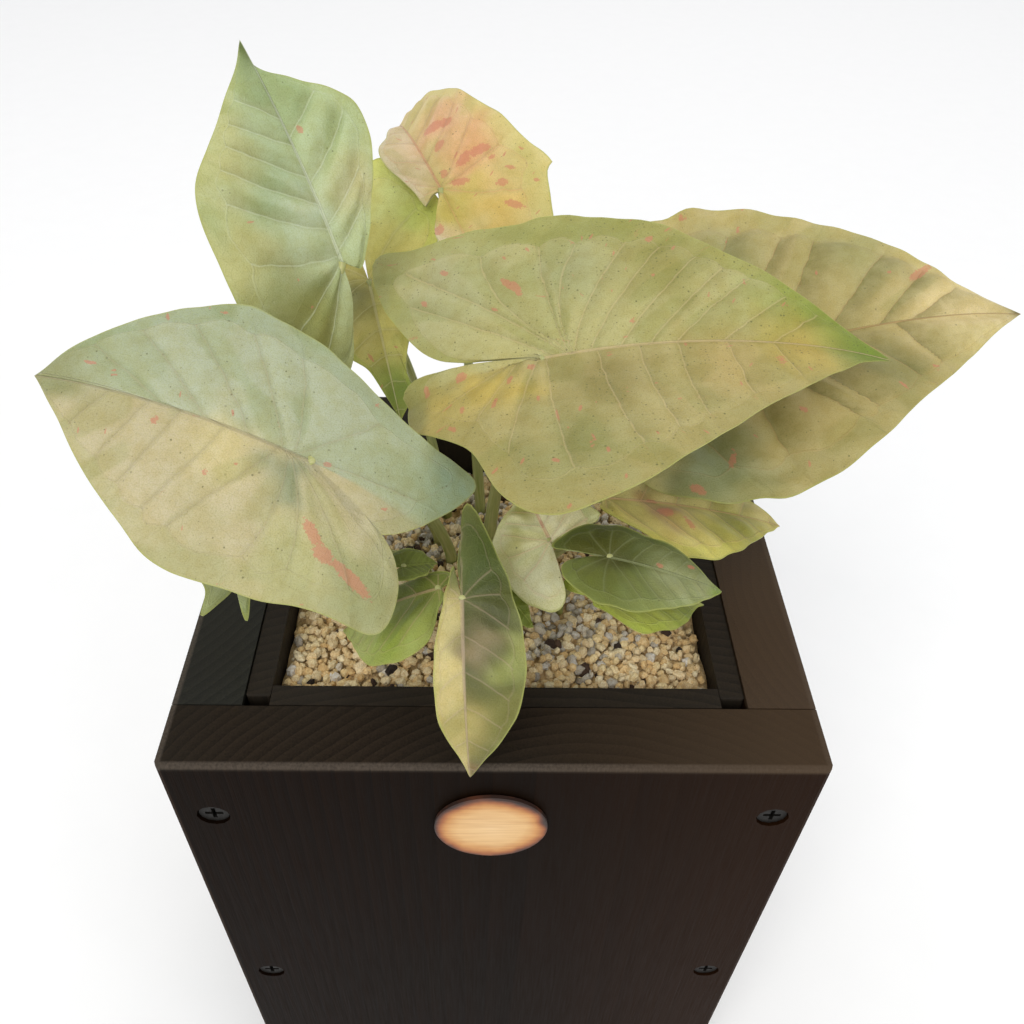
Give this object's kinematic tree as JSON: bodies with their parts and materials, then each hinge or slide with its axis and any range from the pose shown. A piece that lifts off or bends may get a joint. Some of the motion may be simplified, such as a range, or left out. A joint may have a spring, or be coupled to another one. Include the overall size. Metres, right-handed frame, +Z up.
{
  "type": "potted syngonium",
  "caption": "Syngonium houseplant with variegated arrow-shaped leaves, standing in gritty substrate in a tall square planter of black-stained boards with a bare wood disc on its front.",
  "frame": {"origin": "middle of the planter's underside, on the surface it stands on", "axes": "+X is to the right of someone looking at the front with the wood disc, +Y points backwards, +Z up out of the planter"},
  "size_m": [0.2424, 0.1989, 0.3372],
  "materials": {
    "black_wood": "black stain rubbed into planed softwood, satin",
    "raw_wood": "bare sawn softwood",
    "pale_wood": "bare sanded wood with a scorched edge",
    "black_metal": "black paint, satin",
    "grit": "loose pumice, perlite and bark grains, matt",
    "leaf": "living leaf, softly satin, variegated cream, pink and green"
  },
  "bodies": {
    "root": {"front_board": "black_wood", "back_board": "black_wood", "left_board": "black_wood", "right_board": "black_wood", "bottom_board": "black_wood", "screw_front_left_low": "black_metal", "screw_back_left_low": "black_metal", "screw_front_right_low": "black_metal", "screw_back_right_low": "black_metal", "screw_front_left_middle": "black_metal", "screw_back_left_middle": "black_metal", "screw_front_right_middle": "black_metal", "screw_back_right_middle": "black_metal", "screw_front_left_top": "black_metal", "screw_back_left_top": "black_metal", "screw_front_right_top": "black_metal", "screw_back_right_top": "black_metal", "left_cleat": "raw_wood", "right_cleat": "raw_wood", "liner_back": "black_wood", "liner_left": "black_wood", "liner_right": "black_wood", "liner_floor": "black_wood", "liner_front": "black_wood", "wood_disc": "pale_wood", "substrate": "grit", "leaf_left": "leaf", "leaf_upper_left": "leaf", "leaf_middle": "leaf", "leaf_back": "leaf", "leaf_centre": "leaf", "leaf_right": "leaf", "leaf_low_right": "leaf", "leaf_small_right": "leaf", "leaf_under_right": "leaf", "leaf_pale": "leaf", "leaf_front": "leaf", "leaf_low_left": "leaf", "leaf_olive": "leaf", "leaf_behind_front": "leaf", "leaf_far_left": "leaf"}
  },
  "joints": []
}
